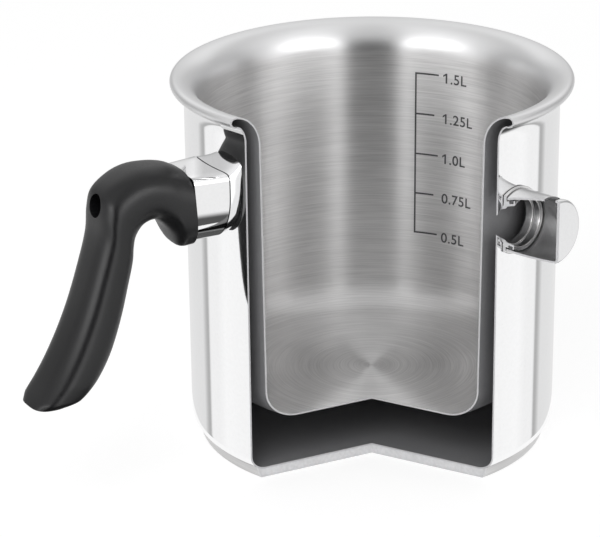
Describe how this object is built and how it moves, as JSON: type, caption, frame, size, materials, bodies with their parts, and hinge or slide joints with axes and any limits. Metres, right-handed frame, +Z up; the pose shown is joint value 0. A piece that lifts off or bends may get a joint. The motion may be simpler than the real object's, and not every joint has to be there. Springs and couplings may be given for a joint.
{
  "type": "milk boiler",
  "caption": "Double-walled steel milk boiler shown as a cutaway, with a water jacket, a side filler neck with steam cap, a rolled pouring rim and a black side grip.",
  "frame": {"origin": "on the pot's axis at the underside of the base, where it stands", "axes": "+Z up along the pot's axis, the handle along -X, and the pot's far side from the cutaway towards +Y"},
  "size_m": [0.2357, 0.173, 0.1516],
  "materials": {
    "polished_steel": "mirror-polished stainless steel",
    "brushed_steel": "stainless steel, brushed round the wall, satin on the flare",
    "base_steel": "satin stainless steel",
    "core_aluminium": "plain aluminium, sawn on the cut",
    "neck_steel": "satin stainless steel",
    "cap_steel": "polished stainless steel outside, dull inside",
    "seal_silicone": "matt grey silicone",
    "sleeve_steel": "mirror-polished stainless steel",
    "black_plastic": "fine-grained matt black heat-proof plastic",
    "plain_steel": "plain zinc-coloured steel"
  },
  "bodies": {
    "pot": {"outer_shell": "polished_steel", "inner_pot": "brushed_steel", "base_cap": "base_steel", "base_core": "core_aluminium", "filler_neck": "neck_steel", "neck_seal": "seal_silicone", "handle_sleeve": "sleeve_steel", "grip": "black_plastic", "weld_stud": "plain_steel", "handle_screw": "plain_steel", "spring_washer": "plain_steel"},
    "steam_cap": {"steam_cap": "cap_steel"}
  },
  "joints": [
    {"name": "cap_pull", "type": "slide", "parent": "pot", "child": "steam_cap", "axis": [0.2571, -0.9664, 0], "range_m": [0, 0.012]}
  ]
}
